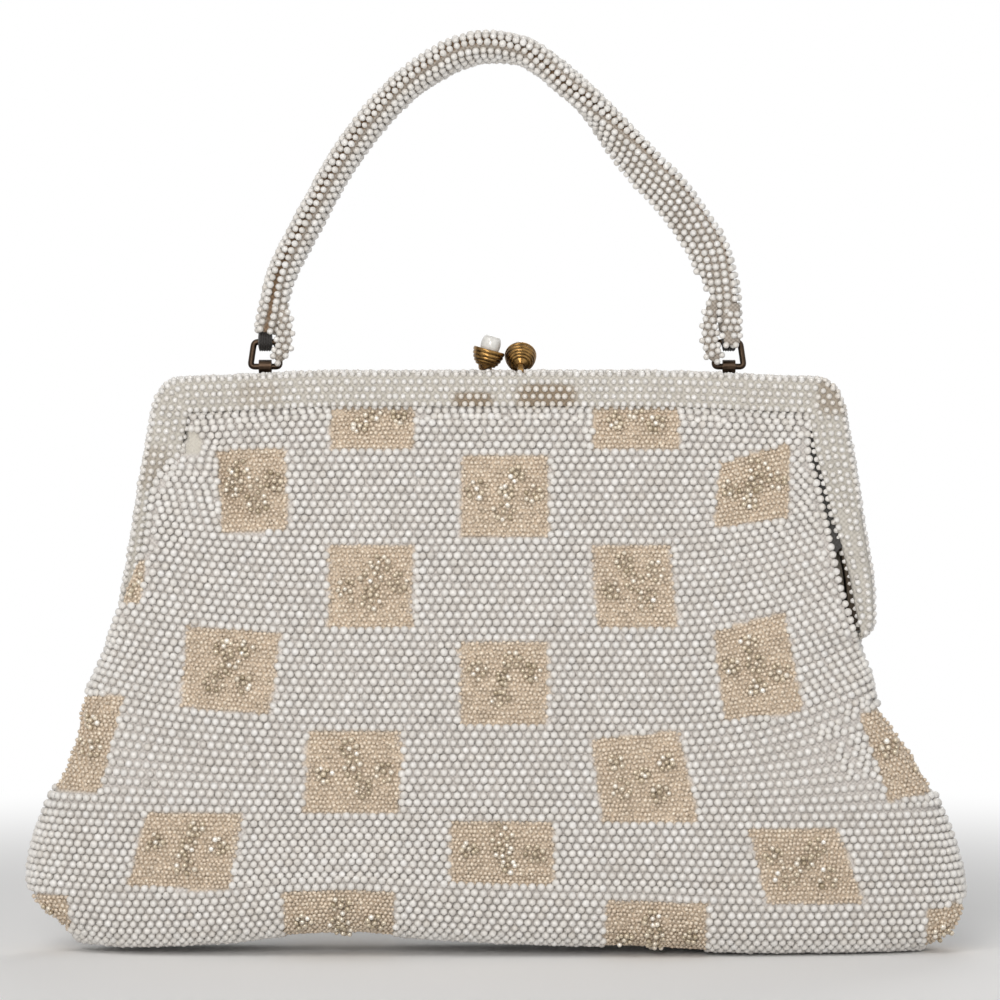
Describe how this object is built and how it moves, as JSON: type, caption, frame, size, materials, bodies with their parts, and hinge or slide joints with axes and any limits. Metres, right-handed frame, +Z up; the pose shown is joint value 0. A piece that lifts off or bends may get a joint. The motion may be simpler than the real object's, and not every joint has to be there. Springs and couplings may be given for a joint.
{
  "type": "beaded handbag",
  "caption": "Beaded evening handbag with a hinged channel frame, a ribbed kiss-lock and a soft handle on two swinging wire rings.",
  "frame": {"origin": "middle of the bag's base, on the floor, in the plane where the two frame halves part", "axes": "+Z up, +X to the viewer's right, -Y toward the viewer, so that the front frame half lies at -Y"},
  "size_m": [0.2566, 0.047, 0.2529],
  "materials": {
    "back_frame": "plain bent sheet",
    "back_frame_cover": "cloth sewn with round and seed beads",
    "back_panel": "cloth sewn with round beads and gold seed-bead squares",
    "base_board": "plain board",
    "clasp_cup_back": "ribbed and worn",
    "clasp_cup_front": "ribbed and worn",
    "clasp_pearl_back": "pearl gloss",
    "clasp_pearl_front": "pearl gloss",
    "clasp_post_back": "bent rod",
    "clasp_post_front": "bent rod",
    "front_frame": "plain bent sheet",
    "front_frame_cover": "cloth sewn with round and seed beads",
    "front_lower_panel": "cloth sewn with round beads and gold seed-bead squares",
    "front_upper_panel": "cloth sewn with round beads and gold seed-bead squares",
    "handle_core": "cotton filler cord",
    "handle_loop_left": "beaded end loop",
    "handle_loop_right": "beaded end loop",
    "handle_lug_left": "darkened",
    "handle_lug_right": "darkened",
    "handle_ring_left": "darkened wire",
    "handle_ring_right": "darkened wire",
    "handle_sleeve": "beaded cloth with a sewn seam",
    "hinge_rivet_left": "peened",
    "hinge_rivet_right": "peened",
    "lining_back": "satin",
    "lining_front_lower": "satin",
    "lining_front_upper": "satin",
    "lining_pocket": "satin",
    "side_gusset_left": "satin",
    "side_gusset_right": "satin"
  },
  "bodies": {
    "back_half": {"back_frame": "back_frame", "back_frame_cover": "back_frame_cover", "back_panel": "back_panel", "front_lower_panel": "front_lower_panel", "base_board": "base_board", "lining_back": "lining_back", "lining_front_lower": "lining_front_lower", "lining_pocket": "lining_pocket", "side_gusset_left": "side_gusset_left", "side_gusset_right": "side_gusset_right", "hinge_rivet_left": "hinge_rivet_left", "hinge_rivet_right": "hinge_rivet_right", "clasp_post_back": "clasp_post_back", "clasp_cup_back": "clasp_cup_back", "clasp_pearl_back": "clasp_pearl_back", "handle_lug_left": "handle_lug_left", "handle_lug_right": "handle_lug_right"},
    "front_half": {"front_frame": "front_frame", "front_frame_cover": "front_frame_cover", "front_upper_panel": "front_upper_panel", "lining_front_upper": "lining_front_upper", "clasp_post_front": "clasp_post_front", "clasp_cup_front": "clasp_cup_front", "clasp_pearl_front": "clasp_pearl_front"},
    "ring_left": {"handle_ring_left": "handle_ring_left"},
    "ring_right": {"handle_ring_right": "handle_ring_right"},
    "handle": {"handle_sleeve": "handle_sleeve", "handle_core": "handle_core", "handle_loop_left": "handle_loop_left", "handle_loop_right": "handle_loop_right"}
  },
  "joints": [
    {"name": "frame_open", "type": "hinge", "parent": "back_half", "child": "front_half", "pos_m": [0, 0, 0.091], "axis": [1, 0, 0], "range_deg": [0, 65]},
    {"name": "ring_left_swing", "type": "hinge", "parent": "back_half", "child": "ring_left", "pos_m": [-0.064, 0.0043, 0.1606], "axis": [1, 0, 0], "range_deg": [-70, 55]},
    {"name": "ring_right_swing", "type": "hinge", "parent": "back_half", "child": "ring_right", "pos_m": [0.064, 0.0043, 0.1606], "axis": [1, 0, 0], "range_deg": [-70, 55]},
    {"name": "handle_swing", "type": "hinge", "parent": "ring_left", "child": "handle", "pos_m": [-0.064, 0.0043, 0.1674], "axis": [1, 0, 0], "range_deg": [-55, 40]}
  ],
  "couplings": [
    {"joint": "ring_right_swing", "follows": "ring_left_swing", "ratio": 1}
  ]
}
